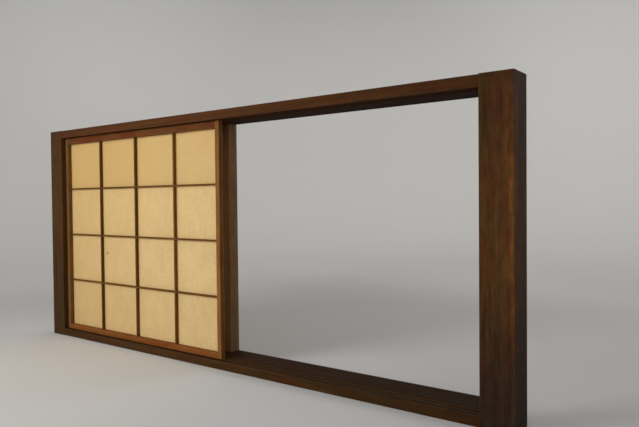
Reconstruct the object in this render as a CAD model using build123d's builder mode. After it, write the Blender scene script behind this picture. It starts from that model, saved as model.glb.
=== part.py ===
from build123d import *
import os

# A single sliding paper screen in its timber frame. One latticed and papered leaf slides
# along a grooved sill rail and head rail, which run from a slim post to a stout one.
# Millimetres. +X runs right along the rails, +Y from the room side to the back and +Z up. The
# origin is the middle of the frame's footprint, on the surface that it stands on.

# Clear opening between the two posts and between the two rails
bay_width = 3100.0
clear_height = 1350.0

# Posts: each stands proud of the rails' front face by its own amount
left_post_width = 136.0
left_post_depth = 136.0
left_post_proud = 3.0
right_post_width = 147.0
right_post_depth = 147.0
right_post_proud = 12.0
post_chamfer = 1.5

# Sill rail and head rail, each one board with two tracks
rail_depth = 250.0
sill_height = 48.0
head_height = 52.0
rail_chamfer = 1.5
front_lip = 34.0
groove_width = 21.0
rib_width = 12.0
sill_groove_depth = 3.0
head_groove_depth = 15.0

# Stub tenons that hold the rails to the posts
rail_tenon_width = 70.0
rail_tenon_thickness = 16.0
rail_tenon_length = 15.0
rail_tenon_setback = 28.0

# Hardwood wear strips let into the floors of the sill grooves
runner_width = 15.0
runner_thickness = 3.0

# Jambs of the opening behind the leaf, flush with the back of the rails
opening_width = 1330.0
jamb_width = 75.0
jamb_depth = 67.0
jamb_chamfer = 1.5
jamb_tenon_width = 45.0
jamb_tenon_depth = 22.0
jamb_tenon_length = 12.0

# Leaf: closed, it covers both jambs and runs on past the far one
leaf_overlap = 74.0
leaf_thickness = 30.0
stile_face = 30.0
top_rail_height = 53.0
bottom_rail_height = 36.0
leaf_chamfer = 1.0
leaf_tenon_thickness = 10.0
leaf_tenon_shoulder = 7.0
leaf_tenon_cover = 9.5

# Room over the leaf: it is hung by lifting it into the head rail, then over the sill
lift_clearance = 2.0
sill_shoulder_gap = 1.5

# Lattice of kumiko bars, half-lapped where they cross
columns = 4
rows = 4
kumiko_face = 10.0
kumiko_depth = 18.0
kumiko_face_shoulder = 2.0
kumiko_depth_shoulder = 4.0
kumiko_tenon_length = 6.0

# Paper, one strip to each row of panes, pasted to the back of the lattice
paper_thickness = 0.4
paper_lap = 3.0
paper_rebate_width = 9.0
paper_rebate_depth = 3.0
paper_edge_gap = 1.0

# Clearances
running_gap = 0.3
groove_gap = 0.5
joint_gap = 0.1
tenon_end_gap = 0.5

# Places along the rails
overall_width = left_post_width + bay_width + right_post_width
bay_left = left_post_width - overall_width / 2
bay_right = bay_left + bay_width
jamb_middles = [
    bay_left + jamb_width / 2,
    bay_left + jamb_width * 3 / 2 + opening_width,
]

# Places from front to back
overall_depth = right_post_proud + rail_depth
rail_front = right_post_proud - overall_depth / 2
rail_middle = rail_front + rail_depth / 2
rail_back = rail_front + rail_depth
jamb_middle_y = rail_back - jamb_depth / 2
front_track = rail_front + front_lip + groove_width / 2
rear_track = front_track + groove_width + rib_width
rail_tenon_middle = rail_front + rail_tenon_setback + rail_tenon_width / 2

# Heights of the frame
sill_top = sill_height
head_bottom = sill_top + clear_height
frame_top = head_bottom + head_height
sill_tenon_z = sill_height / 2
head_tenon_z = (head_bottom + head_groove_depth + frame_top) / 2
runner_top = sill_top - sill_groove_depth

# Leaf in its closed place, against the slim post and in the front grooves
tongue_thickness = groove_width - 2 * groove_gap
lift = sill_groove_depth + lift_clearance
leaf_width = 2 * jamb_width + opening_width + leaf_overlap
leaf_left = bay_left + running_gap
leaf_right = leaf_left + leaf_width
leaf_front = front_track - leaf_thickness / 2
leaf_back = front_track + leaf_thickness / 2
leaf_bottom = runner_top + running_gap
leaf_top = head_bottom + head_groove_depth - lift
leaf_middle_x = (leaf_left + leaf_right) / 2
bottom_shoulder = sill_top + sill_shoulder_gap
top_shoulder = head_bottom - lift

# Lattice inside the leaf's frame
lattice_left = leaf_left + stile_face
lattice_right = leaf_right - stile_face
lattice_bottom = leaf_bottom + bottom_rail_height
lattice_top = leaf_top - top_rail_height
lattice_middle_z = (lattice_bottom + lattice_top) / 2
lattice_width = lattice_right - lattice_left
lattice_height = lattice_top - lattice_bottom
column_pitch = (lattice_width + kumiko_face) / columns
row_pitch = (lattice_height + kumiko_face) / rows
kumiko_back = leaf_back - paper_rebate_depth
kumiko_front = kumiko_back - kumiko_depth
kumiko_middle = (kumiko_front + kumiko_back) / 2
kumiko_x = [lattice_left - kumiko_face / 2 + i * column_pitch for i in range(1, columns)]
kumiko_z = [lattice_bottom - kumiko_face / 2 + i * row_pitch for i in range(1, rows)]

# Tenons of the leaf's rails and of the kumiko
top_tenon_z = (lattice_top + top_shoulder) / 2
top_tenon_height = top_shoulder - lattice_top - 2 * leaf_tenon_shoulder
bottom_tenon_z = (lattice_bottom + bottom_shoulder) / 2
bottom_tenon_height = lattice_bottom - bottom_shoulder - 2 * leaf_tenon_shoulder
leaf_mortise_depth = stile_face - leaf_tenon_cover
leaf_tenon_length = leaf_mortise_depth - tenon_end_gap
kumiko_tenon_face = kumiko_face - 2 * kumiko_face_shoulder
kumiko_tenon_depth = kumiko_depth - 2 * kumiko_depth_shoulder

os.makedirs("parts", exist_ok=True)


def save(solid, name):
    """Label a finished piece and write it to its own file."""
    solid.label = name
    export_step(solid, f"parts/{name}.step")


def arrises(piece, axis, *places):
    """Long edges of a piece along an axis, each the nearest to a given place."""
    along = piece.edges().filter_by(axis)
    return [along.sort_by_distance(place)[0] for place in places]


# Sill rail: a board with two shallow grooves, each with a bed for its wear strip
with BuildPart() as sill_rail:
    with BuildSketch(Plane.YZ.offset(bay_left)):
        with Locations((rail_middle, sill_height / 2)):
            Rectangle(rail_depth, sill_height)
        with Locations((front_track, sill_top), (rear_track, sill_top)):
            Rectangle(groove_width, 2 * sill_groove_depth, mode=Mode.SUBTRACT)
            Rectangle(runner_width, 2 * (sill_groove_depth + runner_thickness), mode=Mode.SUBTRACT)
    extrude(amount=bay_width)
    front_arrises = [(0, rail_front, sill_top), (0, rail_front, 0)]
    chamfer(arrises(sill_rail, Axis.X, *front_arrises), rail_chamfer)
    with BuildSketch(Plane.YZ.offset(bay_left - rail_tenon_length)):
        with Locations((rail_tenon_middle, sill_tenon_z)):
            Rectangle(rail_tenon_width, rail_tenon_thickness)
    extrude(amount=bay_width + 2 * rail_tenon_length)
    with BuildSketch(Plane.XY.offset(sill_top)):
        with Locations(*[(x, jamb_middle_y) for x in jamb_middles]):
            Rectangle(jamb_tenon_width + 2 * joint_gap, jamb_tenon_depth + 2 * joint_gap)
    extrude(amount=-jamb_tenon_length - tenon_end_gap, mode=Mode.SUBTRACT)
save(sill_rail.part, "sill_rail")

# Head rail: the same board upside down, with grooves deep enough to lift the leaf out
with BuildPart() as head_rail:
    with BuildSketch(Plane.YZ.offset(bay_left)):
        with Locations((rail_middle, head_bottom + head_height / 2)):
            Rectangle(rail_depth, head_height)
        with Locations((front_track, head_bottom), (rear_track, head_bottom)):
            Rectangle(groove_width, 2 * head_groove_depth, mode=Mode.SUBTRACT)
    extrude(amount=bay_width)
    front_arrises = [(0, rail_front, head_bottom), (0, rail_front, frame_top)]
    chamfer(arrises(head_rail, Axis.X, *front_arrises), rail_chamfer)
    with BuildSketch(Plane.YZ.offset(bay_left - rail_tenon_length)):
        with Locations((rail_tenon_middle, head_tenon_z)):
            Rectangle(rail_tenon_width, rail_tenon_thickness)
    extrude(amount=bay_width + 2 * rail_tenon_length)
    with BuildSketch(Plane.XY.offset(head_bottom)):
        with Locations(*[(x, jamb_middle_y) for x in jamb_middles]):
            Rectangle(jamb_tenon_width + 2 * joint_gap, jamb_tenon_depth + 2 * joint_gap)
    extrude(amount=jamb_tenon_length + tenon_end_gap, mode=Mode.SUBTRACT)
save(head_rail.part, "head_rail")

# Posts: square timbers with a shallow chamfer on each arris, mortised for the rail tenons
posts = {
    "left_post": (bay_left, -1, left_post_width, left_post_depth, left_post_proud),
    "right_post": (bay_right, 1, right_post_width, right_post_depth, right_post_proud),
}
for name, (inner_x, outwards, width, depth, proud) in posts.items():
    with BuildPart() as post:
        with BuildSketch():
            with Locations((inner_x + outwards * width / 2, rail_front - proud + depth / 2)):
                Rectangle(width, depth)
        extrude(amount=frame_top)
        chamfer(post.edges().filter_by(Axis.Z), post_chamfer)
        with BuildSketch(Plane.YZ.offset(inner_x)):
            with Locations((rail_tenon_middle, sill_tenon_z), (rail_tenon_middle, head_tenon_z)):
                Rectangle(rail_tenon_width + 2 * joint_gap, rail_tenon_thickness + 2 * joint_gap)
        extrude(amount=outwards * (rail_tenon_length + tenon_end_gap), mode=Mode.SUBTRACT)
    save(post.part, name)

# Jambs: stand on the back of the sill rail, with a stub tenon at each end
for name, middle_x in zip(("left_jamb", "right_jamb"), jamb_middles):
    with BuildPart() as jamb:
        with BuildSketch(Plane.XY.offset(sill_top)):
            with Locations((middle_x, jamb_middle_y)):
                Rectangle(jamb_width, jamb_depth)
        extrude(amount=clear_height)
        chamfer(jamb.edges().filter_by(Axis.Z), jamb_chamfer)
        with BuildSketch(Plane.XY.offset(sill_top - jamb_tenon_length)):
            with Locations((middle_x, jamb_middle_y)):
                Rectangle(jamb_tenon_width, jamb_tenon_depth)
        extrude(amount=clear_height + 2 * jamb_tenon_length)
    save(jamb.part, name)

# Wear strips, flush with the floor of each sill groove
for name, track in (("front_wear_strip", front_track), ("rear_wear_strip", rear_track)):
    with BuildPart() as wear_strip:
        with BuildSketch(Plane.YZ.offset(bay_left + joint_gap)):
            with Locations((track, runner_top - runner_thickness / 2)):
                Rectangle(runner_width - 2 * joint_gap, runner_thickness)
        extrude(amount=bay_width - 2 * joint_gap)
    save(wear_strip.part, name)

# Waste cut from the front and back of the leaf's frame, which leaves a tongue along its top
# and its bottom edge
with BuildPart() as tongue_waste:
    with BuildSketch(Plane.YZ.offset(leaf_left)):
        with Locations((front_track, (leaf_top + top_shoulder) / 2)):
            Rectangle(leaf_thickness, leaf_top - top_shoulder)
            Rectangle(tongue_thickness, leaf_top - top_shoulder, mode=Mode.SUBTRACT)
        with Locations((front_track, (leaf_bottom + bottom_shoulder) / 2)):
            Rectangle(leaf_thickness, bottom_shoulder - leaf_bottom)
            Rectangle(tongue_thickness, bottom_shoulder - leaf_bottom, mode=Mode.SUBTRACT)
    extrude(amount=leaf_width)

# Waste cut from the back of the leaf's frame, which leaves a ledge for the paper's edges
with BuildPart() as paper_waste:
    with BuildSketch(Plane.XZ.offset(-leaf_back)):
        with Locations((leaf_middle_x, lattice_middle_z)):
            Rectangle(lattice_width + 2 * paper_rebate_width, lattice_height + 2 * paper_rebate_width)
    extrude(amount=paper_rebate_depth)

# Stiles: full height, mortised for both rails and for the ends of the horizontal kumiko
stiles = {
    "left_stile": (leaf_left, lattice_left, -1),
    "right_stile": (leaf_right, lattice_right, 1),
}
for name, (outer_x, inner_x, outwards) in stiles.items():
    with BuildPart() as stile:
        with BuildSketch(Plane.XY.offset(leaf_bottom)):
            with Locations(((outer_x + inner_x) / 2, front_track)):
                Rectangle(stile_face, leaf_thickness)
        extrude(amount=leaf_top - leaf_bottom)
        front_arrises = [(outer_x, leaf_front, lattice_middle_z), (inner_x, leaf_front, lattice_middle_z)]
        chamfer(arrises(stile, Axis.Z, *front_arrises), leaf_chamfer)
        add(tongue_waste.part, mode=Mode.SUBTRACT)
        add(paper_waste.part, mode=Mode.SUBTRACT)
        with BuildSketch(Plane.YZ.offset(inner_x)):
            with Locations((front_track, top_tenon_z)):
                Rectangle(leaf_tenon_thickness + 2 * joint_gap, top_tenon_height + 2 * joint_gap)
            with Locations((front_track, bottom_tenon_z)):
                Rectangle(leaf_tenon_thickness + 2 * joint_gap, bottom_tenon_height + 2 * joint_gap)
        extrude(amount=outwards * leaf_mortise_depth, mode=Mode.SUBTRACT)
        with BuildSketch(Plane.YZ.offset(inner_x)):
            with Locations(*[(kumiko_middle, z) for z in kumiko_z]):
                Rectangle(kumiko_tenon_depth + 2 * joint_gap, kumiko_tenon_face + 2 * joint_gap)
        extrude(amount=outwards * (kumiko_tenon_length + tenon_end_gap), mode=Mode.SUBTRACT)
    save(stile.part, name)

# Top and bottom rails: between the stiles, tenoned into them and mortised for the vertical kumiko
leaf_rails = {
    "top_rail": (leaf_top, lattice_top, 1, top_tenon_z, top_tenon_height),
    "bottom_rail": (leaf_bottom, lattice_bottom, -1, bottom_tenon_z, bottom_tenon_height),
}
for name, (outer_z, inner_z, outwards, tenon_z, tenon_height) in leaf_rails.items():
    with BuildPart() as leaf_rail:
        with BuildSketch(Plane.YZ.offset(lattice_left)):
            with Locations((front_track, (outer_z + inner_z) / 2)):
                Rectangle(leaf_thickness, abs(outer_z - inner_z))
        extrude(amount=lattice_width)
        chamfer(arrises(leaf_rail, Axis.X, (leaf_middle_x, leaf_front, inner_z)), leaf_chamfer)
        add(tongue_waste.part, mode=Mode.SUBTRACT)
        add(paper_waste.part, mode=Mode.SUBTRACT)
        with BuildSketch(Plane.YZ.offset(lattice_left - leaf_tenon_length)):
            with Locations((front_track, tenon_z)):
                Rectangle(leaf_tenon_thickness, tenon_height)
        extrude(amount=lattice_width + 2 * leaf_tenon_length)
        with BuildSketch(Plane.XY.offset(inner_z)):
            with Locations(*[(x, kumiko_middle) for x in kumiko_x]):
                Rectangle(kumiko_tenon_face + 2 * joint_gap, kumiko_tenon_depth + 2 * joint_gap)
        extrude(amount=outwards * (kumiko_tenon_length + tenon_end_gap), mode=Mode.SUBTRACT)
    save(leaf_rail.part, name)

# Vertical kumiko: whole at the front, half-lapped from behind at each crossing
for number, x in enumerate(kumiko_x, 1):
    with BuildPart() as kumiko:
        with BuildSketch(Plane.XY.offset(lattice_bottom)):
            with Locations((x, kumiko_middle)):
                Rectangle(kumiko_face, kumiko_depth)
        extrude(amount=lattice_height)
        with BuildSketch(Plane.XY.offset(lattice_bottom - kumiko_tenon_length)):
            with Locations((x, kumiko_middle)):
                Rectangle(kumiko_tenon_face, kumiko_tenon_depth)
        extrude(amount=lattice_height + 2 * kumiko_tenon_length)
        with BuildSketch(Plane.XZ.offset(-kumiko_back)):
            with Locations(*[(x, z) for z in kumiko_z]):
                Rectangle(kumiko_face, kumiko_face + 2 * joint_gap)
        extrude(amount=kumiko_depth / 2, mode=Mode.SUBTRACT)
    save(kumiko.part, f"vertical_kumiko_{number}")

# Horizontal kumiko: whole at the back, half-lapped from the front at each crossing
for number, z in enumerate(kumiko_z, 1):
    with BuildPart() as kumiko:
        with BuildSketch(Plane.YZ.offset(lattice_left)):
            with Locations((kumiko_middle, z)):
                Rectangle(kumiko_depth, kumiko_face)
        extrude(amount=lattice_width)
        with BuildSketch(Plane.YZ.offset(lattice_left - kumiko_tenon_length)):
            with Locations((kumiko_middle, z)):
                Rectangle(kumiko_tenon_depth, kumiko_tenon_face)
        extrude(amount=lattice_width + 2 * kumiko_tenon_length)
        with BuildSketch(Plane.XZ.offset(-kumiko_front)):
            with Locations(*[(x, z) for x in kumiko_x]):
                Rectangle(kumiko_face + 2 * joint_gap, kumiko_face)
        extrude(amount=-kumiko_depth / 2, mode=Mode.SUBTRACT)
    save(kumiko.part, f"horizontal_kumiko_{number}")

# Paper strips, hung from the bottom row up: each laps over the top edge of the one below it
paper_margin = paper_rebate_width - paper_edge_gap
paper_left = lattice_left - paper_margin
paper_width = lattice_width + 2 * paper_margin
seams = [lattice_bottom - paper_margin, *kumiko_z, lattice_top + paper_margin]
for number, (low, high) in enumerate(zip(seams, seams[1:]), 1):
    with BuildPart() as paper:
        with BuildSketch(Plane.YZ.offset(paper_left)):
            with Locations((kumiko_back + paper_thickness / 2, (low + high) / 2)):
                Rectangle(paper_thickness, high - low)
            if number > 1:
                with Locations((kumiko_back + paper_thickness * 3 / 2, low)):
                    Rectangle(paper_thickness, 2 * paper_lap)
        extrude(amount=paper_width)
    save(paper.part, f"paper_strip_{number}")
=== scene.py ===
# %% [markdown]
# # A shoji sliding screen
# The screen is a latticed, papered leaf that slides in a frame of dark-stained timber. The packed
# CAD model already gives every timber its true shape and place, so this file adds what a finisher
# would: a camera and a plain studio, the grain and stain of each timber, and the paper, which is
# made again here as thin sheets that are a little slack between the bars, as pasted paper is.
# Lengths are in metres and angles in radians, unless a name says otherwise.

# %% Load the frame
import math

import bpy
import numpy as np
from mathutils import Matrix, Vector


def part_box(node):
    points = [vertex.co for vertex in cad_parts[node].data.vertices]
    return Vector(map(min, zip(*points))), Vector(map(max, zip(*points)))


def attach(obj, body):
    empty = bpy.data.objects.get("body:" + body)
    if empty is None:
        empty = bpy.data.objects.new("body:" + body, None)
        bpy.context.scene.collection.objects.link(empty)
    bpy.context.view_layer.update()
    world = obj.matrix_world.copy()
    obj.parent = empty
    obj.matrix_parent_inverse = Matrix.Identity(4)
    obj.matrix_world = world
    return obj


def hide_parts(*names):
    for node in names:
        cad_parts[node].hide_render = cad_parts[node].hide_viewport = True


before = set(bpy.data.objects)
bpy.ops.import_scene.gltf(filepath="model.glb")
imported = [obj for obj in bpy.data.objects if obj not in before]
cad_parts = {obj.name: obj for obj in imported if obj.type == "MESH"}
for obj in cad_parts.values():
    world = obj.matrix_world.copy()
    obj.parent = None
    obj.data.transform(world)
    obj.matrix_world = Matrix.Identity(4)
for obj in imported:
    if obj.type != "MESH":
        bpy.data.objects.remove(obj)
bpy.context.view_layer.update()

# %% [markdown]
# ## Camera
# The view is the photograph's own: from the right end of the screen, a little above the middle of
# its height, looking left along the leaf. Three turns are easier to reason about than a matrix, so
# the camera's own directions are worked out from its yaw, pitch and roll.

# %% Camera
IMAGE_WIDTH_PX = 639
FOCAL_LENGTH_PX = 619.2
SENSOR_WIDTH_MM = 36.0
CAMERA_PLACE = Vector((2.543, -2.529, 0.942))
YAW_LEFT = math.radians(37.02)
PITCH_UP = math.radians(-1.21)
ROLL = math.radians(-0.54)


def camera_axes(yaw, pitch, roll):
    """Right, up and forward.

    Forward is +Y turned left by the yaw and up by the pitch. The level right and up directions are
    then turned about it by the roll.
    """
    forward = Vector((-math.sin(yaw) * math.cos(pitch), math.cos(yaw) * math.cos(pitch), math.sin(pitch)))
    level_right = Vector((math.cos(yaw), math.sin(yaw), 0))
    level_up = level_right.cross(forward)
    right = level_right * math.cos(roll) + level_up * math.sin(roll)
    return right, right.cross(forward), forward


right, up, forward = camera_axes(YAW_LEFT, PITCH_UP, ROLL)
camera_data = bpy.data.cameras.new("camera")
camera_data.sensor_width = SENSOR_WIDTH_MM
camera_data.lens = FOCAL_LENGTH_PX / IMAGE_WIDTH_PX * SENSOR_WIDTH_MM
camera = bpy.data.objects.new("camera", camera_data)
camera_turn = Matrix((right, up, -forward)).transposed().to_4x4()
camera.matrix_world = Matrix.Translation(CAMERA_PLACE) @ camera_turn
bpy.context.scene.collection.objects.link(camera)
bpy.context.scene.camera = camera
print("lens in mm:", round(camera_data.lens, 2))

# %% [markdown]
# ## Floor and backdrop
# A pale floor that sweeps up into a pale backdrop hides the horizon. It is one profile turned round
# the screen: flat, then a quarter circle, then straight up, so every view has the same plain ground.
# A plane and a bent plane behind it would do for one view, but not for the others.

# %% Mesh from a grid of points


def grid_mesh(name, points, closed_round=False):
    """Quads through an array of points of rows x columns x 3. The last column may join the first."""
    rows, columns = points.shape[:2]
    index = np.arange(rows * columns).reshape(rows, columns)
    if closed_round:
        index = np.hstack([index, index[:, :1]])
    corners = index[:-1, :-1], index[:-1, 1:], index[1:, 1:], index[1:, :-1]
    quads = np.stack(corners, axis=-1).reshape(-1, 4)
    mesh = bpy.data.meshes.new(name)
    mesh.from_pydata(points.reshape(-1, 3).tolist(), [], quads.tolist())
    mesh.shade_smooth()
    piece = bpy.data.objects.new(name, mesh)
    bpy.context.scene.collection.objects.link(piece)
    print(name, "quads:", len(quads))
    return piece


# %% Sweep of the floor
FLOOR_RADIUS = 6.6
FLOOR_RADII = (0.001, 2.0, 4.0, FLOOR_RADIUS)
SWEEP_RADIUS = 1.8
SWEEP_STEPS = 12
BACKDROP_TOP = 7.0
STEPS_ROUND = 96


def sweep_profile():
    """Radius and height of each point: along the floor, up a quarter circle, then straight up."""
    climb = np.linspace(0, math.pi / 2, SWEEP_STEPS + 1)[1:-1]
    edge = FLOOR_RADIUS + SWEEP_RADIUS
    flat = np.array([[radius, 0] for radius in FLOOR_RADII])
    rise = SWEEP_RADIUS * (1 - np.cos(climb))
    curve = np.stack([FLOOR_RADIUS + SWEEP_RADIUS * np.sin(climb), rise], axis=1)
    return np.vstack([flat, curve, [[edge, SWEEP_RADIUS], [edge, BACKDROP_TOP]]])


def turned(profile, steps):
    """The profile carried round the Z axis: x and y are the radius times the cosine and the sine."""
    angle = np.arange(steps) * 2 * math.pi / steps
    radius, height = profile[:, :1], profile[:, 1:]
    return np.stack([radius * np.cos(angle), radius * np.sin(angle), height + 0 * angle], axis=-1)


backdrop = grid_mesh("backdrop", turned(sweep_profile(), STEPS_ROUND), closed_round=True)

# %% Pale ground
GROUND_COLOUR = (0.80, 0.79, 0.77, 1.0)
GROUND_ROUGHNESS = 0.9

ground = bpy.data.materials.new("pale_ground")
ground.use_nodes = True
ground_shader = ground.node_tree.nodes["Principled BSDF"]
ground_shader.inputs["Base Color"].default_value = GROUND_COLOUR
ground_shader.inputs["Roughness"].default_value = GROUND_ROUGHNESS
backdrop.data.materials.append(ground)
print("ground colour:", GROUND_COLOUR[:3])

# %% [markdown]
# ## Light
# Soft light falls on the screen from the front and left: fronts are bright, the sides that look
# right are darker, and the underside of the head rail is nearly black. One large key lamp does that,
# a weak lamp from the right opens the shadows, another shows the back, and a ring of lamps above the
# screen faces outwards and lights the backdrop alike on every side. A grid in front of each lamp,
# which Blender calls spread, keeps its light off the floor beneath it. A dim sky fills in what no
# lamp reaches.

# %% A soft lamp
SPREAD = math.radians(110)


def soft_lamp(name, place, target, size, watts):
    """A square lamp with its face turned to a target. The camera doesn't see it."""
    data = bpy.data.lights.new(name, "AREA")
    data.size = size
    data.energy = watts
    data.spread = SPREAD
    lamp = bpy.data.objects.new(name, data)
    lamp.location = place
    lamp.rotation_mode = "QUATERNION"
    lamp.rotation_quaternion = (Vector(target) - Vector(place)).to_track_quat("-Z", "Y")
    lamp.visible_camera = False
    bpy.context.scene.collection.objects.link(lamp)


# %% Lamps on the screen
SCREEN_MIDDLE = (-0.3, 0.0, 0.75)
LAMP_SIZE = 2.4
KEY_PLACE, KEY_WATTS = (-2.0, -4.2, 2.1), 49
FILL_PLACE, FILL_WATTS = (4.0, -3.2, 1.8), 12
REAR_PLACE, REAR_WATTS = (1.5, 4.8, 3.2), 12

soft_lamp("key_lamp", KEY_PLACE, SCREEN_MIDDLE, LAMP_SIZE, KEY_WATTS)
soft_lamp("fill_lamp", FILL_PLACE, SCREEN_MIDDLE, LAMP_SIZE, FILL_WATTS)
soft_lamp("rear_lamp", REAR_PLACE, SCREEN_MIDDLE, LAMP_SIZE, REAR_WATTS)
print("lamps on the screen:", len(bpy.data.lights))

# %% Lamps on the backdrop
RING_LAMPS = 6
RING_RADIUS = 2.2
RING_HEIGHT = 5.2
RING_LAMP_SIZE = 2.0
RING_LAMP_WATTS = 43

for number in range(RING_LAMPS):
    bearing = 2 * math.pi * (number + 0.5) / RING_LAMPS
    outward = Vector((math.cos(bearing), math.sin(bearing), 0))
    ring_place = RING_RADIUS * outward + Vector((0, 0, RING_HEIGHT))
    sweep_top = (FLOOR_RADIUS + SWEEP_RADIUS) * outward + Vector((0, 0, SWEEP_RADIUS))
    soft_lamp(f"backdrop_lamp_{number + 1}", ring_place, sweep_top, RING_LAMP_SIZE, RING_LAMP_WATTS)
print("lamps in all:", len(bpy.data.lights))

# %% Sky
SKY_COLOUR = (0.97, 0.98, 1.0, 1.0)
SKY_STRENGTH = 0.2

world = bpy.data.worlds.new("studio")
world.use_nodes = True
sky = world.node_tree.nodes["Background"]
sky.inputs["Color"].default_value = SKY_COLOUR
sky.inputs["Strength"].default_value = SKY_STRENGTH
bpy.context.scene.world = world
bpy.context.scene.view_settings.view_transform = "Standard"
print("view transform:", bpy.context.scene.view_settings.view_transform)

# %% [markdown]
# ## Helpers for node trees
# A finish is a tree of nodes, and trees are long to write by hand. A few small functions keep them
# readable: one adds a node and fills its inputs with values or links, and the others are the sums,
# the mixes and the noise that every finish here is made of.

# %% Add and fill nodes


def fill(tree, socket, value):
    """Link a socket to the value if that is another socket, and set it otherwise."""
    if isinstance(value, bpy.types.NodeSocket):
        tree.links.new(value, socket)
    else:
        socket.default_value = value


def add_node(tree, kind, inputs=None, **settings):
    """Add a node, set its properties, then fill its inputs."""
    node = tree.nodes.new("ShaderNode" + kind)
    for key, value in settings.items():
        setattr(node, key, value)
    for key, value in (inputs or {}).items():
        fill(tree, node.inputs[key], value)
    return node


# %% Sums and mixes


def maths(tree, operation, *values):
    """The result of one Math node."""
    return add_node(tree, "Math", dict(enumerate(values)), operation=operation).outputs[0]


def vector_maths(tree, operation, *values):
    """The vector that one Vector Math node gives."""
    return add_node(tree, "VectorMath", dict(enumerate(values)), operation=operation).outputs["Vector"]


def ease(tree, value, start, end, low=0.0, high=1.0):
    """Low up to the start, high past the end, and a smooth step between them."""
    inputs = {"Value": value, "From Min": start, "From Max": end, "To Min": low, "To Max": high}
    return add_node(tree, "MapRange", inputs, interpolation_type="SMOOTHSTEP").outputs["Result"]


def mix_colour(tree, factor, first, second):
    """The first colour at a factor of 0, the second at 1."""
    node = add_node(tree, "Mix", data_type="RGBA")
    sockets = [socket for socket in node.inputs if socket.enabled]
    for socket, value in zip(sockets, (factor, first, second)):
        fill(tree, socket, value)
    return next(socket for socket in node.outputs if socket.enabled)


# %% Noise and groups
SOCKET_KINDS = {"vector": "NodeSocketVector", "colour": "NodeSocketColor", "value": "NodeSocketFloat"}


def noise(tree, vector, cycles, detail=3.0, roughness=0.6):
    """Noise from 0 to 1 with so many cycles to a metre along each axis."""
    scaled = vector_maths(tree, "MULTIPLY", vector, cycles)
    inputs = {"Vector": scaled, "Scale": 1.0, "Detail": detail, "Roughness": roughness}
    return add_node(tree, "TexNoise", inputs).outputs[0]


def new_group(name, inputs, outputs):
    """An empty node group with named sockets, and the sockets that it reads and fills."""
    group = bpy.data.node_groups.new(name, "ShaderNodeTree")
    for way, sockets in (("INPUT", inputs), ("OUTPUT", outputs)):
        for socket_name, kind in sockets.items():
            group.interface.new_socket(socket_name, in_out=way, socket_type=SOCKET_KINDS[kind])
    given = group.nodes.new("NodeGroupInput").outputs
    result = group.nodes.new("NodeGroupOutput").inputs
    print("group:", name, "with", len(inputs), "inputs")
    return group, given, result


def use_group(tree, group, inputs):
    """Place a group in a tree, fill its inputs and give its outputs."""
    node = tree.nodes.new("ShaderNodeGroup")
    node.node_tree = group
    for key, value in inputs.items():
        fill(tree, node.inputs[key], value)
    return node.outputs


# %% [markdown]
# ## Grain
# Wood is a stack of yearly rings round the heart of a log, and a sawn timber is a straight cut
# through that stack. A grain that is drawn on each face would break at the arrises. So the grain is
# a solid pattern here, and each face shows its own cut of it: a piece sawn far from the heart has
# straight lines, one sawn near it has long arches, and the ends show the rings. X runs along the log.

# %% Measures of a log
LOG_TAPER = 0.012
RING_WANDER = 0.016
WANDER_CYCLES = (1.1, 6.0, 6.0)
LATE_WOOD_RISE = (0.50, 0.94)
LATE_WOOD_STOP = (0.95, 1.0)
WEAKEST_YEAR = 0.4
GRAIN_INPUTS = {
    "Vector": "vector",
    "Seed": "vector",
    "Ring Width": "value",
    "Heart Y": "value",
    "Heart Z": "value",
}
print("late wood, in shares of a year:", LATE_WOOD_RISE, "to", LATE_WOOD_STOP)

# %% Log grain


def log_grain_group():
    """How far each point is from the heart of the log, and the share of late wood there.

    The distance is the root of the two squares across the log, plus the log's taper times X, plus a
    slow wander. Divided by the ring width it gives the year. Late wood rises slowly through each
    year and stops short, by a strength that differs from year to year.
    """
    outputs = {"Late Wood": "value", "Distance": "value"}
    group, given, result = new_group("log_grain", GRAIN_INPUTS, outputs)
    place = add_node(group, "SeparateXYZ", {0: given["Vector"]}).outputs
    moved = vector_maths(group, "ADD", given["Vector"], given["Seed"])
    wander = maths(group, "SUBTRACT", noise(group, moved, WANDER_CYCLES), 0.5)
    taper = maths(group, "MULTIPLY", place["X"], LOG_TAPER)
    bend = maths(group, "MULTIPLY_ADD", wander, RING_WANDER, taper)
    across = maths(group, "SUBTRACT", place["Y"], given["Heart Y"])
    above = maths(group, "SUBTRACT", place["Z"], given["Heart Z"])
    square = maths(group, "MULTIPLY_ADD", across, across, maths(group, "MULTIPLY", above, above))
    distance = maths(group, "ADD", maths(group, "SQRT", square), bend)
    year = maths(group, "DIVIDE", distance, given["Ring Width"])
    season = maths(group, "FRACT", year)
    stop = ease(group, season, *LATE_WOOD_STOP, 1.0, 0.0)
    late = maths(group, "MULTIPLY", ease(group, season, *LATE_WOOD_RISE), stop)
    number = {"W": maths(group, "FLOOR", year)}
    chance = add_node(group, "TexWhiteNoise", number, noise_dimensions="1D").outputs[0]
    strength = ease(group, chance, 0.0, 1.0, WEAKEST_YEAR, 1.0)
    group.links.new(maths(group, "MULTIPLY", late, strength), result["Late Wood"])
    group.links.new(distance, result["Distance"])
    return group


log_grain = log_grain_group()

# %% [markdown]
# ## Worn arrises
# Hands and cleaning cloths rub the stain off the arrises first. A bevelled and painted edge would
# need geometry, but a timber is nearly a box, so the distance to its nearest arris follows from its
# half sizes alone: on a face, one of the three distances to the box's sides is zero, and the next
# smallest is the way to the arris.

# %% Arris wear
WEAR_WIDTH = 0.004
NARROWEST, WIDEST = 0.3, 1.6
PATCHY_CYCLES = (14.0, 14.0, 14.0)
PATCHY_EDGE = (0.35, 0.65)
WEAR_INPUTS = {"Vector": "vector", "Half Size": "vector"}


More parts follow.
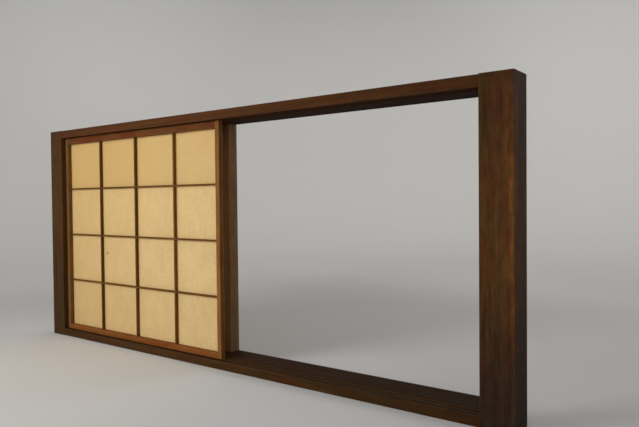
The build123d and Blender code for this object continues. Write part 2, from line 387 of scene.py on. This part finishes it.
def arris_wear_group():
    """1 on an arris, easing to 0 over a width that noise makes wide in some places and narrow in others.

    The distance is the middle one of the three distances to the sides of the box.
    """
    group, given, result = new_group("arris_wear", WEAR_INPUTS, {"Wear": "value"})
    folded = vector_maths(group, "ABSOLUTE", given["Vector"])
    inside = vector_maths(group, "SUBTRACT", given["Half Size"], folded)
    gap = add_node(group, "SeparateXYZ", {0: inside}).outputs
    lesser = maths(group, "MINIMUM", gap["X"], gap["Y"])
    greater = maths(group, "MAXIMUM", gap["X"], gap["Y"])
    middle = maths(group, "MAXIMUM", lesser, maths(group, "MINIMUM", greater, gap["Z"]))
    patchy = noise(group, given["Vector"], PATCHY_CYCLES)
    reach = ease(group, patchy, *PATCHY_EDGE, NARROWEST * WEAR_WIDTH, WIDEST * WEAR_WIDTH)
    share = maths(group, "DIVIDE", middle, reach)
    group.links.new(ease(group, share, 0.0, 1.0, 1.0, 0.0), result["Wear"])
    return group


arris_wear = arris_wear_group()

# %% [markdown]
# ## Stained timber
# The timbers are softwood under a thin brown stain. It reddens in patches and stays paler on the
# sapwood at the log's rim, and the years add mottles. Light and shade are painted on as well: each
# face is lighter or darker by the way it looks, a pool of painted light lies along a timber with
# painted shade past it, a foot is painted darker and greyer, and undersides are painted dark with
# shade. One group holds all of it, and each timber gives it its own values.

# %% Colour of a stained timber
SAPWOOD_EDGE = (-0.006, 0.010)
BROKEN_CYCLES = (9.0, 40.0, 40.0)
BROKEN_EDGE = (0.35, 0.6)
LEAST_SAPWOOD = 0.25
BLOT_CYCLES = (5.0, 14.0, 14.0)
STREAK_CYCLES = (4.0, 150.0, 150.0)
PATCH_EDGE = (0.58, 0.76)
FOOT_SHADE_EDGE = (-0.55, 0.05)
RAGGED = 0.3


def timber_colour(group, given, moved, grain):
    """Early and late wood mixed by the rings, then sapwood, reddened patches and the foot's painted
    shade.

    Sapwood starts past its distance from the heart, and is broken in places. A patch is where large
    blots and fine streaks together are high. Painted shade darkens and greys the foot from just below
    the middle down to the end, and the blots make that edge ragged.
    """
    late = maths(group, "MULTIPLY", grain["Late Wood"], given["Grain"])
    colour = mix_colour(group, late, given["Early Colour"], given["Late Colour"])
    past = maths(group, "SUBTRACT", grain["Distance"], given["Sapwood From"])
    rim = ease(group, past, *SAPWOOD_EDGE)
    gaps = noise(group, moved, BROKEN_CYCLES, detail=4.0)
    broken = ease(group, gaps, *BROKEN_EDGE, LEAST_SAPWOOD, 1.0)
    colour = mix_colour(group, maths(group, "MULTIPLY", rim, broken), colour, given["Sapwood Colour"])
    blots = noise(group, moved, BLOT_CYCLES, detail=5.0, roughness=0.7)
    streaks = noise(group, moved, STREAK_CYCLES, detail=2.0)
    patch = ease(group, maths(group, "MULTIPLY_ADD", streaks, RAGGED, blots), *PATCH_EDGE)
    reddened = maths(group, "MULTIPLY", patch, given["Patches"])
    colour = mix_colour(group, reddened, colour, given["Patch Colour"])
    # Painted shade: the foot is darker and greyer
    length = add_node(group, "SeparateXYZ", {0: given["Vector"]}).outputs["X"]
    shaded_foot = ease(group, maths(group, "MULTIPLY_ADD", blots, RAGGED, length), *FOOT_SHADE_EDGE, 1.0, 0.0)
    shaded_foot = maths(group, "MULTIPLY", shaded_foot, given["Greyed"])
    return mix_colour(group, shaded_foot, colour, given["Foot Shade Colour"])


# %% Lightness of a stained timber
CLOUD_CYCLES = (13.0, 40.0, 40.0)
LINE_CYCLES = (1.8, 80.0, 80.0)
LINE_TONES = (0.78, 1.2)
FIBRE_TONES = (0.86, 1.14)
MOST_OF_NOISE = (0.3, 0.7)
MOST_OF_FIBRE = (0.2, 0.8)


def timber_tone(group, given, moved, fibre, soot):
    """The mottles, streaks and fibres, times the painted light along the timber, the painted light of the
    face and the painted shade below.

    The painted light along the timber is a bell: 1 plus its share in the middle, 1 less its share past
    its width. The face's painted light is the mean of the tones along X, Y and Z, weighted by the
    squares of the normal's three parts.
    """
    clouds = noise(group, moved, CLOUD_CYCLES, detail=5.0, roughness=0.7)
    mottle = ease(group, clouds, *MOST_OF_NOISE, -1.0, 1.0)
    lines = noise(group, moved, LINE_CYCLES, detail=4.0, roughness=0.75)
    streak = ease(group, lines, *MOST_OF_NOISE, *LINE_TONES)
    tone = maths(group, "MULTIPLY_ADD", mottle, given["Mottle"], streak)
    tone = maths(group, "MULTIPLY", tone, ease(group, fibre, *MOST_OF_FIBRE, *FIBRE_TONES))
    # Painted light: a pool of light along the timber, and painted shade past its width
    length = add_node(group, "SeparateXYZ", {0: given["Vector"]}).outputs["X"]
    away = maths(group, "ABSOLUTE", maths(group, "SUBTRACT", length, given["Rubbed At"]))
    bell = ease(group, maths(group, "DIVIDE", away, given["Rubbed Width"]), 0.0, 1.0, 1.0, -1.0)
    tone = maths(group, "MULTIPLY", tone, maths(group, "MULTIPLY_ADD", bell, given["Rubbed Share"], 1.0))
    # Painted light and shade: each face is lighter or darker by the way it looks
    squares = vector_maths(group, "MULTIPLY", given["Normal"], given["Normal"])
    weighted = {0: squares, 1: given["Face Tones"]}
    face = add_node(group, "VectorMath", weighted, operation="DOT_PRODUCT").outputs["Value"]
    tone = maths(group, "MULTIPLY", tone, face)
    return maths(group, "MULTIPLY", tone, maths(group, "SUBTRACT", 1.0, soot))


# %% Inputs of a stained timber
TIMBER_INPUTS = {
    **GRAIN_INPUTS,
    **WEAR_INPUTS,
    "Normal": "vector",
    "Sapwood From": "value",
    "Early Colour": "colour",
    "Late Colour": "colour",
    "Patch Colour": "colour",
    "Sapwood Colour": "colour",
    "Foot Shade Colour": "colour",
    "Wear Colour": "colour",
    "Face Tones": "vector",
    "Grain": "value",
    "Patches": "value",
    "Mottle": "value",
    "Wear": "value",
    "Rubbed At": "value",
    "Rubbed Width": "value",
    "Rubbed Share": "value",
    "Greyed": "value",
    "Soot": "value",
    "Dullness": "value",
}
print("inputs of a stained timber:", len(TIMBER_INPUTS))

# %% Stained timber group
FIBRE_CYCLES = (9.0, 600.0, 600.0)
FACING_DOWN = (-0.8, -0.3)
FIBRE_DULLNESS = (-0.05, 0.08)
SHADE_BELOW_DULLNESS = 0.4
WORN_POLISH = -0.1
RING_RELIEF, FIBRE_RELIEF = 0.6, 0.4


def stained_timber_group():
    """Colour, roughness and relief of one timber.

    Painted shade darkens and dulls the faces that look down. Worn arrises get their own colour and a
    little polish. In the relief, late wood stands proud of the early wood and fibres roughen both.
    """
    outputs = {"Colour": "colour", "Roughness": "value", "Relief": "value"}
    group, given, result = new_group("stained_timber", TIMBER_INPUTS, outputs)
    grain = use_group(group, log_grain, {key: given[key] for key in GRAIN_INPUTS})
    moved = vector_maths(group, "ADD", given["Vector"], given["Seed"])
    fibre = noise(group, moved, FIBRE_CYCLES)
    # Painted shade: faces that look down are darkened, and dulled
    facing = add_node(group, "SeparateXYZ", {0: given["Normal"]}).outputs["Z"]
    soot = maths(group, "MULTIPLY", ease(group, facing, *FACING_DOWN, 1.0, 0.0), given["Soot"])
    tone = timber_tone(group, given, moved, fibre, soot)
    colour = timber_colour(group, given, moved, grain)
    toned = {0: colour, "Scale": tone}
    colour = add_node(group, "VectorMath", toned, operation="SCALE").outputs["Vector"]
    wear = use_group(group, arris_wear, {key: given[key] for key in WEAR_INPUTS})["Wear"]
    worn = maths(group, "MULTIPLY", wear, given["Wear"])
    group.links.new(mix_colour(group, worn, colour, given["Wear Colour"]), result["Colour"])
    rough = ease(group, fibre, *MOST_OF_FIBRE, *FIBRE_DULLNESS)
    dull = maths(group, "ADD", given["Dullness"], rough)
    dull = maths(group, "MULTIPLY_ADD", soot, SHADE_BELOW_DULLNESS, dull)
    group.links.new(maths(group, "MULTIPLY_ADD", worn, WORN_POLISH, dull), result["Roughness"])
    fibres = maths(group, "MULTIPLY", fibre, FIBRE_RELIEF)
    relief = maths(group, "MULTIPLY_ADD", grain["Late Wood"], RING_RELIEF, fibres)
    group.links.new(relief, result["Relief"])
    return group


stained_timber = stained_timber_group()

# %% [markdown]
# ## Finishes
# Colours are written as a painter reads them, 0 to 255, and turned into Blender's linear values.
# The frame is weathered brown, and its sill a little duller, because feet and leaves pass over it.
# The jambs are greyer, and their lightness is partly painted light on their fronts, which lie in the
# leaf's shade. The wear strips are hardwood, and the leaf is redder and lighter, because it was
# stained apart from the frame.

# %% Colours


def linear(red, green, blue, tone=1.0):
    """A colour from 0 to 255 as linear values, by the power curve of sRGB, times a tone."""
    share = np.array([red, green, blue]) / 255
    return (*(tone * np.where(share <= 0.04045, share / 12.92, ((share + 0.055) / 1.055) ** 2.4)), 1.0)


FINISHES = {
    "post": dict(early=(84, 57, 28), late=(48, 30, 13), patch=(85, 46, 23), wear=(108, 76, 42)),
    "rail": dict(early=(82, 49, 21), late=(56, 32, 12), patch=(82, 38, 16), wear=(104, 66, 33)),
    "sill": dict(early=(73, 51, 28), late=(50, 34, 18), patch=(74, 41, 23), wear=(96, 68, 38)),
    "jamb": dict(early=(106, 80, 54), late=(80, 58, 38), patch=(94, 66, 44), wear=(118, 92, 64)),
    "wear_strip": dict(early=(72, 50, 28), late=(56, 36, 18), patch=(64, 42, 22), wear=(88, 62, 36)),
    "stile": dict(early=(140, 94, 46), late=(108, 66, 28), patch=(128, 72, 32), wear=(160, 114, 64)),
    "leaf_rail": dict(early=(130, 79, 36), late=(96, 52, 20), patch=(120, 59, 26), wear=(148, 100, 56)),
    "kumiko": dict(early=(96, 63, 20), late=(74, 46, 12), patch=(86, 50, 14), wear=(112, 76, 34)),
}
print("finishes:", ", ".join(FINISHES))

# %% Values of a plain timber
NO_SAPWOOD = 10.0
PLAIN_VALUES = {
    "Sapwood From": NO_SAPWOOD,
    "Sapwood Colour": linear(112, 72, 34),
    # The colour of the painted shade on a foot
    "Foot Shade Colour": linear(46, 36, 34),
    "Face Tones": (1.0, 1.0, 1.0),
    "Grain": 0.85,
    "Patches": 0.6,
    "Mottle": 0.1,
    "Wear": 0.5,
    "Rubbed At": 0.0,
    "Rubbed Width": 1.0,
    "Rubbed Share": 0.0,
    "Greyed": 0.0,
    "Soot": 0.0,
    "Dullness": 0.62,
}
print("values of a plain timber:", len(PLAIN_VALUES))

# %% Values of one timber
UPRIGHT = (0.0, -math.pi / 2, 0.0)
LEVEL = (0.0, 0.0, 0.0)
SEED_REACH = 40
dice = np.random.default_rng(1603)


def timber_values(name, finish, run, heart, tone, changes):
    """The stained timber group's values for one timber, with the plain ones where nothing is given.

    The seed moves the timber's noise to a place of its own, so no two timbers have the same marks.
    """
    low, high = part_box(name)
    half = (high - low) / 2
    along_first = Vector((half.z, half.y, half.x)) if run == UPRIGHT else half
    return {
        **PLAIN_VALUES,
        "Half Size": along_first,
        "Seed": tuple(dice.uniform(-SEED_REACH, SEED_REACH, 3)),
        "Heart Y": heart[0],
        "Heart Z": heart[1],
        **{f"{key.title()} Colour": linear(*value, tone) for key, value in FINISHES[finish].items()},
        **{key.replace("_", " ").title(): value for key, value in changes.items()},
    }


# %% Timber material
SHEEN_TINT = (1.0, 0.75, 0.5, 1.0)
GRAIN_DEPTH = 0.0006
GRAIN_STRENGTH = 0.6


def timber_material(name, finish, run, heart, tone=1.0, sheen=0.1, **changes):
    """Stain one CAD timber.

    A Mapping node brings Object coordinates to the timber's middle, with X along it, upwards or to
    the right. The tone lightens or darkens the finish, and the sheen is the strength of its
    reflections. Other values of the group are given by name.
    """
    low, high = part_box(name)
    material = bpy.data.materials.new(name + "_timber")
    material.use_nodes = True
    tree = material.node_tree
    coordinates = add_node(tree, "TexCoord").outputs
    place = {"Vector": coordinates["Object"], "Location": (low + high) / 2, "Rotation": run}
    vectors = {
        "Vector": add_node(tree, "Mapping", place, vector_type="TEXTURE").outputs["Vector"],
        "Normal": coordinates["Normal"],
    }
    values = timber_values(name, finish, run, heart, tone, changes)
    timber = use_group(tree, stained_timber, {**vectors, **values})
    shader = tree.nodes["Principled BSDF"]
    shader.inputs["Specular IOR Level"].default_value = sheen
    shader.inputs["Specular Tint"].default_value = SHEEN_TINT
    tree.links.new(timber["Colour"], shader.inputs["Base Color"])
    tree.links.new(timber["Roughness"], shader.inputs["Roughness"])
    grain_bump = {"Height": timber["Relief"], "Distance": GRAIN_DEPTH, "Strength": GRAIN_STRENGTH}
    tree.links.new(add_node(tree, "Bump", grain_bump).outputs["Normal"], shader.inputs["Normal"])
    timber_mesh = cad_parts[name].data
    timber_mesh.materials.clear()
    timber_mesh.materials.append(material)
    print(name, "finish:", finish)


# %% [markdown]
# ## The frame's timbers
# The posts are boxed heart, sawn with the heart of the log inside them, so their faces show arches
# and the stout post keeps a rim of sapwood at one corner. That post's foot is painted darker and
# greyer, as shade. The boards of the frame come from farther out, and the sill and its strips are
# rubbed so dull that they have hardly any sheen. The heart is given across the timber, from its
# middle.

# %% Frame timbers
# Painted light on the left post: a pool of light along its upper part, and its sides lighter than the
# front
timber_material("left_post", "post", UPRIGHT, (0.03, 0.02), tone=0.71, ring_width=0.003, mottle=0.12,
                rubbed_at=0.5, rubbed_width=1.2, rubbed_share=0.14, face_tones=(1.25, 1.0, 1.0))
# Painted light and shade on the right post: a pool of light near its middle, sides darker than the front,
# and a darker, greyer foot
timber_material("right_post", "post", UPRIGHT, (0.03, 0.05), tone=0.77, ring_width=0.0032, patches=0.8,
                mottle=0.26, sapwood_from=0.139, sapwood_colour=linear(100, 62, 28), rubbed_at=0.1,
                rubbed_width=0.7, rubbed_share=0.2, greyed=0.68, face_tones=(0.6, 1.0, 1.0))
# Painted light and shade on the sill: a pool of light at its left end, darker towards the right, and its
# top darker than its front
timber_material("sill_rail", "sill", LEVEL, (0.05, -0.16), tone=0.88, sheen=0.03, ring_width=0.0035,
                rubbed_at=-0.6, rubbed_width=2.2, rubbed_share=0.16, face_tones=(1.0, 1.0, 0.75))
# Painted light and shade on the head rail: a pool of light towards its left end, and its underside dark
# with painted shade
timber_material("head_rail", "rail", LEVEL, (-0.04, 0.18), tone=0.92, ring_width=0.0035, soot=0.65,
                rubbed_at=-0.9, rubbed_width=2.4, rubbed_share=0.15)
# The jambs' high tone is partly painted light on their fronts, which lie in the leaf's shade
for side, heart in (("left", (0.14, 0.10)), ("right", (0.12, -0.15))):
    timber_material(f"{side}_jamb", "jamb", UPRIGHT, heart, tone=1.3, ring_width=0.003)
for track, heart in (("front", (0.10, 0.20)), ("rear", (-0.12, 0.22))):
    timber_material(f"{track}_wear_strip", "wear_strip", LEVEL, heart, tone=1.5, sheen=0.03,
                    ring_width=0.002, dullness=0.55)

# %% [markdown]
# ## The leaf's timbers
# Leaves are made of close, straight-grained stock from far out in the log, because such a stick
# stays straight. So the heart is far off and the rings are narrow. The stile at the slim post has
# grey patches, which are painted sheen of light glancing off it.

# %% Leaf timbers
# The left stile's grey patches are painted sheen, light glancing off it
timber_material("left_stile", "stile", UPRIGHT, (0.16, 0.22), tone=0.75, ring_width=0.0022, patches=0.9,
                patch_colour=linear(108, 82, 60))
# Painted shade: the right stile's sides are darker than its front
timber_material("right_stile", "stile", UPRIGHT, (-0.14, 0.24), tone=0.93, ring_width=0.0022,
                face_tones=(0.65, 1.0, 1.0))
# The top rail's low tone is painted shade under the head rail; its red patches are its stain
timber_material("top_rail", "leaf_rail", LEVEL, (0.20, 0.15), tone=0.64, ring_width=0.0022,
                patches=1.0, patch_colour=linear(98, 44, 17))
timber_material("bottom_rail", "leaf_rail", LEVEL, (-0.18, 0.20), tone=1.05, ring_width=0.0022)
# The tones of the upright and of the level bar with each number
KUMIKO_TONES = {1: (0.88, 1.2), 2: (1.0, 1.12), 3: (1.36, 1.18)}
for number, (upright_tone, level_tone) in KUMIKO_TONES.items():
    # Painted light: the upright bars' sides are lighter than their fronts
    timber_material(f"vertical_kumiko_{number}", "kumiko", UPRIGHT, (0.25, 0.20), tone=upright_tone,
                    ring_width=0.0015, face_tones=(1.2, 1.0, 1.0))
    timber_material(f"horizontal_kumiko_{number}", "kumiko", LEVEL, (0.22, -0.24), tone=level_tone,
                    ring_width=0.0015)

# %% [markdown]
# ## Paper
# One strip of paper hangs behind each row of panes. It is pasted to the back of the bars, and laps
# over the top edge of the strip below. Between the bars it is free: misting draws it tight, but it
# stays a little slack, with faint puckers where the paste holds it. A cloth simulation could find
# such a shape, but it is so shallow that a height over the strip's width and height gives it better:
# flat on the bars, and a few tenths of a millimetre off the plane in the panes.

# %% Lattice measures
bar_low, bar_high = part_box("vertical_kumiko_1")
row_low, row_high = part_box("horizontal_kumiko_1")
BAR = bar_high.x - bar_low.x
FIRST_X, PITCH_X = (bar_low.x + bar_high.x) / 2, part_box("vertical_kumiko_2")[0].x - bar_low.x
FIRST_Z, PITCH_Z = (row_low.z + row_high.z) / 2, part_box("horizontal_kumiko_2")[0].z - row_low.z
print("bar and pitches in mm:", [round(length * 1000, 1) for length in (BAR, PITCH_X, PITCH_Z)])

# %% Place in a pane


def pane_place(along, first, pitch):
    """The pane's number, and how far across it a point is: 0 at one bar's edge, 1 at the next one's."""
    turns = (along - first) / pitch
    pane = np.floor(turns).astype(int)
    across = ((turns - pane) * pitch - BAR / 2) / (pitch - BAR)
    return pane + 1, np.clip(across, 0, 1)


# %% Height of the paper
PANES_AND_MARGINS = 6
pane_slack = dice.uniform(-1, 1, (PANES_AND_MARGINS, PANES_AND_MARGINS))
SLACK = 0.0006
DOME_POWER = 0.7
PUCKER = 0.00015
PUCKER_LENGTH = 0.045
PUCKER_REACH = 0.05
SLANTS = (0.4, -0.3)
PANE_SHIFTS = (5, 3)


def paper_height(x, z):
    """Distance off the plane.

    Each pane has a shallow dome of its own slack: the product of a sine each way, to a power below
    1. Waves cross it at two slants, start elsewhere in each pane, and fade with the distance from
    the bars. On the bars, and in the margins beyond them, both are nothing.
    """
    column, u = pane_place(x, FIRST_X, PITCH_X)
    row, v = pane_place(z, FIRST_Z, PITCH_Z)
    free = (np.sin(math.pi * u) * np.sin(math.pi * v)) ** DOME_POWER
    nearest = np.minimum(np.minimum(u, 1 - u) * PITCH_X, np.minimum(v, 1 - v) * PITCH_Z)
    ripple = 2 * math.pi / PUCKER_LENGTH
    upright_waves = np.sin(ripple * (x + SLANTS[0] * z) + PANE_SHIFTS[0] * column)
    waves = upright_waves + np.sin(ripple * (z + SLANTS[1] * x) + PANE_SHIFTS[1] * row)
    pucker = PUCKER * np.exp(-nearest / PUCKER_REACH) * waves
    return free * (SLACK * pane_slack[row, column] + pucker)


middle_height = paper_height(FIRST_X + PITCH_X / 2, FIRST_Z + PITCH_Z / 2)
print("one pane's middle, in mm off the plane:", round(1000 * float(middle_height), 2))

# %% Paper strips
SHEET = 0.0002
CAD_SHEET = 0.0004
LAP = 0.003
LAP_ROWS = (0, 0.5, 1, 1.4)
CELL = 0.008


def paper_strip(name):
    """The strip's sheet: x and z over its box, and y the back of the bars plus the height.

    A CAD strip that is deeper than one sheet has a lap. There the foot of the paper steps back by
    one sheet over the lap's height, and eases in over the same height above it. Extra rows of
    points, given in laps from the foot, follow that bend. The sheet replaces the CAD strip and
    rides with the leaf.
    """
    low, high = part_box(name)
    has_lap = high.y - low.y > 1.5 * CAD_SHEET
    columns = round((high.x - low.x) / CELL) + 1
    rows = round((high.z - low.z) / CELL) + 1
    lap_rows = low.z + LAP * np.array(LAP_ROWS)
    levels = np.concatenate([lap_rows, np.linspace(low.z + 2 * LAP, high.z, rows)])
    z, x = np.meshgrid(levels, np.linspace(low.x, high.x, columns), indexing="ij")
    step_back = has_lap * SHEET * np.clip(2 - (z - low.z) / LAP, 0, 1)
    y = low.y + SHEET / 2 + paper_height(x, z) + step_back
    sheet = grid_mesh(name + "_sheet", np.stack([x, y, z], axis=-1))
    thickness = sheet.modifiers.new("thickness", "SOLIDIFY")
    thickness.thickness = SHEET
    thickness.offset = 0
    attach(sheet, "shoji")
    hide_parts(name)
    return sheet


sheets = [paper_strip(f"paper_strip_{number}") for number in (1, 2, 3, 4)]

# %% [markdown]
# ## Paper finish
# Handmade paper is a felt of long fibres, thicker in some places than in others, so it looks cloudy
# from afar and full of fine pale threads close by. A thread could be a drawn curve, but here it is
# the line where a noise crosses its middle value, which gives long curls that never end. Paste has
# browned the paper over the bars. The side that is always at the slim post has yellowed, and so has
# the strip at the top, where smoke gathers.

# %% Threads and paste
THREAD_CYCLES = ((60.0, 60.0, 170.0), (190.0, 60.0, 70.0), (110.0, 60.0, 120.0))
THREAD_HAIR = 0.014
PASTE_EDGE = 0.002


def paper_threads(group, vector):
    """1 along each thread: where one of three noises is within a hair of its middle value."""
    threads = None
    for cycles in THREAD_CYCLES:
        off_middle = maths(group, "SUBTRACT", noise(group, vector, cycles, detail=1.0), 0.5)
        thread = ease(group, maths(group, "ABSOLUTE", off_middle), 0.0, THREAD_HAIR, 1.0, 0.0)
        threads = thread if threads is None else maths(group, "MAXIMUM", threads, thread)
    return threads


def over_bars(group, vector):
    """1 over a bar: the distance to the nearest bar's middle, by folding X and Z at half a pitch."""
    place = add_node(group, "SeparateXYZ", {0: vector}).outputs
    from_upright = maths(group, "PINGPONG", maths(group, "SUBTRACT", place["X"], FIRST_X), PITCH_X / 2)
    from_level = maths(group, "PINGPONG", maths(group, "SUBTRACT", place["Z"], FIRST_Z), PITCH_Z / 2)
    nearest = maths(group, "MINIMUM", from_upright, from_level)
    return ease(group, nearest, BAR / 2 - PASTE_EDGE, BAR / 2 + PASTE_EDGE, 1.0, 0.0)


# %% Marks on the paper
# Each mark has a place, a radius and a share of the mark's colour
SPECK = ((-1.107, -0.0625, 0.601), 0.0105, 0.9)
SMUDGE = ((-0.218, -0.0625, 0.375), 0.012, 0.3)
TORN_CYCLES = (300.0, 300.0, 300.0)
LEAST_RADIUS, MOST_RADIUS = 0.7, 1.3
SOLID_CORE = 0.4


def mark(group, vector, place, radius, share):
    """The share in the core of the mark, easing to 0 at its radius, which noise makes ragged."""
    away = add_node(group, "VectorMath", {0: vector, 1: place}, operation="DISTANCE").outputs["Value"]
    torn = noise(group, vector, TORN_CYCLES)
    ragged = ease(group, torn, *MOST_OF_NOISE, LEAST_RADIUS * radius, MOST_RADIUS * radius)
    spot = ease(group, maths(group, "DIVIDE", away, ragged), SOLID_CORE, 1.0, 1.0, 0.0)
    return maths(group, "MULTIPLY", spot, share)


# %% Paper group
FLOCK_CYCLES = (70.0, 70.0, 50.0)
PULP_CYCLES = (12.0, 12.0, 9.0)
THIN_PLACES = (0.75, 1.30)
AGED_SPAN, AGED_SHARE = (-1.6, -0.1), 0.55
THREAD_SHARE = 0.35
PASTE_SHARE = 0.6
CLOUD_RELIEF = 0.5
PAPER_INPUTS = {
    "Vector": "vector",
    "Light Colour": "colour",
    "Cloud Colour": "colour",
    "Thread Colour": "colour",
    "Aged Colour": "colour",
    "Paste Colour": "colour",
    "Mark Colour": "colour",
    "Yellowed": "value",
}


def handmade_paper_group():
    """Clouds, then the yellowed side, then threads, paste and the two marks. Threads stand proud."""
    outputs = {"Colour": "colour", "Relief": "value"}
    group, given, result = new_group("handmade_paper", PAPER_INPUTS, outputs)
    vector = given["Vector"]
    flocks = noise(group, vector, FLOCK_CYCLES)
    clouds = maths(group, "ADD", noise(group, vector, PULP_CYCLES), flocks)
    thin = ease(group, clouds, *THIN_PLACES)
    colour = mix_colour(group, thin, given["Light Colour"], given["Cloud Colour"])
    across = add_node(group, "SeparateXYZ", {0: vector}).outputs["X"]
    aged = maths(group, "ADD", ease(group, across, *AGED_SPAN, AGED_SHARE, 0.0), given["Yellowed"])
    colour = mix_colour(group, maths(group, "MINIMUM", aged, 1.0), colour, given["Aged Colour"])
    threads = paper_threads(group, vector)
    pale = maths(group, "MULTIPLY", threads, THREAD_SHARE)
    colour = mix_colour(group, pale, colour, given["Thread Colour"])
    paste = maths(group, "MULTIPLY", over_bars(group, vector), PASTE_SHARE)
    colour = mix_colour(group, paste, colour, given["Paste Colour"])
    marks = maths(group, "MAXIMUM", mark(group, vector, *SPECK), mark(group, vector, *SMUDGE))
    colour = mix_colour(group, marks, colour, given["Mark Colour"])
    group.links.new(colour, result["Colour"])
    group.links.new(maths(group, "MULTIPLY_ADD", clouds, CLOUD_RELIEF, threads), result["Relief"])
    return group


handmade_paper = handmade_paper_group()

# %% Paper material
PAPER_COLOURS = {
    "Light": (225, 193, 134),
    "Cloud": (214, 181, 122),
    "Thread": (246, 230, 196),
    "Aged": (200, 162, 98),
    "Paste": (184, 148, 96),
    "Mark": (92, 66, 34),
}
PAPER_ROUGHNESS = 0.85
PAPER_SHEEN = 0.2
FELT_DEPTH = 0.0002
FELT_STRENGTH = 0.4


def paper_material(name, tone, yellowed):
    """The paper group on a dull surface. Tone and yellowing tell one strip of paper from the next."""
    material = bpy.data.materials.new(name)
    material.use_nodes = True
    tree = material.node_tree
    colours = {f"{key} Colour": linear(*value, tone) for key, value in PAPER_COLOURS.items()}
    coordinates = add_node(tree, "TexCoord").outputs["Object"]
    values = {"Vector": coordinates, "Yellowed": yellowed, **colours}
    paper = use_group(tree, handmade_paper, values)
    shader = tree.nodes["Principled BSDF"]
    shader.inputs["Roughness"].default_value = PAPER_ROUGHNESS
    shader.inputs["Specular IOR Level"].default_value = PAPER_SHEEN
    tree.links.new(paper["Colour"], shader.inputs["Base Color"])
    felt_bump = {"Height": paper["Relief"], "Distance": FELT_DEPTH, "Strength": FELT_STRENGTH}
    tree.links.new(add_node(tree, "Bump", felt_bump).outputs["Normal"], shader.inputs["Normal"])
    return material


# %% Finish of each strip, from the lowest up
STRIP_TONES = (0.93, 0.97, 0.99, 1.04)
STRIP_YELLOWING = (0.0, 0.0, 0.05, 0.6)

for sheet, tone, yellowed in zip(sheets, STRIP_TONES, STRIP_YELLOWING):
    finish_name = sheet.name.replace("sheet", "paper")
    sheet.data.materials.append(paper_material(finish_name, tone, yellowed))
print("materials:", len(bpy.data.materials))
